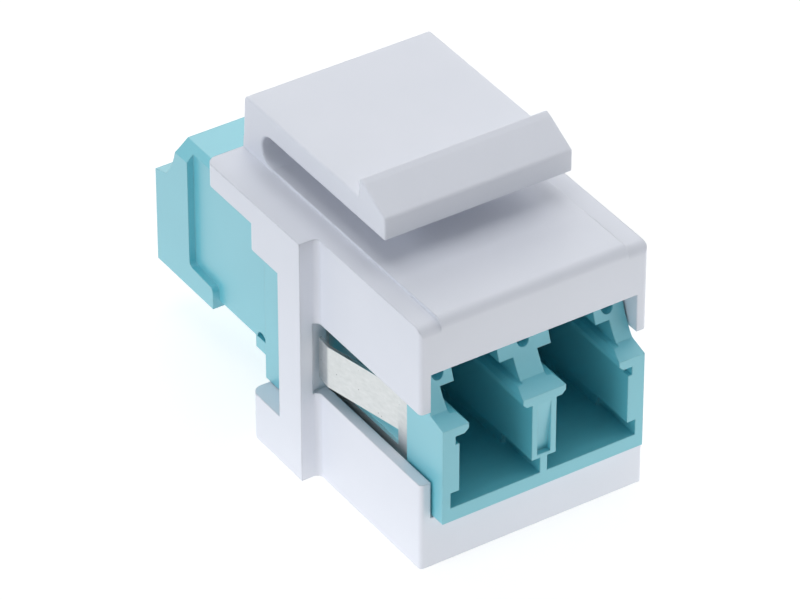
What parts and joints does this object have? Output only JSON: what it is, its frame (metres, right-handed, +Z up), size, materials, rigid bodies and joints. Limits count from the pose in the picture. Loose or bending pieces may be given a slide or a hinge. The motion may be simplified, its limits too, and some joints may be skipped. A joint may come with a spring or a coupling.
{
  "type": "keystone fibre coupler",
  "caption": "Snap-in keystone module with a pressed latch arm that holds a duplex fibre adapter, with plug ports at the front and rear.",
  "frame": {"origin": "centre of the bounding box, at the level of the base", "axes": "+Z up from the base to the latch arm, +Y from the front ports to the rear ports, X across the ports"},
  "size_m": [0.0168, 0.0296, 0.0206],
  "materials": {
    "white_plastic": "fine satin moulding, cool white",
    "white_plastic_arm": "fine satin moulding, cool white",
    "aqua_plastic": "semi-gloss moulding, aqua",
    "aqua_plastic_rear": "semi-gloss moulding, aqua",
    "sleeve_ceramic": "polished white ceramic",
    "clip_sheet": "rolled spring sheet, pale and speckled"
  },
  "bodies": {
    "coupler": {"keystone_housing": "white_plastic", "adapter_front_body": "aqua_plastic", "adapter_rear_body": "aqua_plastic_rear", "sleeve_left": "sleeve_ceramic", "sleeve_right": "sleeve_ceramic", "spring_clip": "clip_sheet"},
    "latch": {"latch_arm": "white_plastic_arm"}
  },
  "joints": [
    {"name": "latch_flex", "type": "hinge", "parent": "coupler", "child": "latch", "pos_m": [0, 0.0049, 0.0173], "axis": [1, 0, 0], "range_deg": [0, 7.5], "stiffness_Nm_per_rad": 0.5}
  ]
}
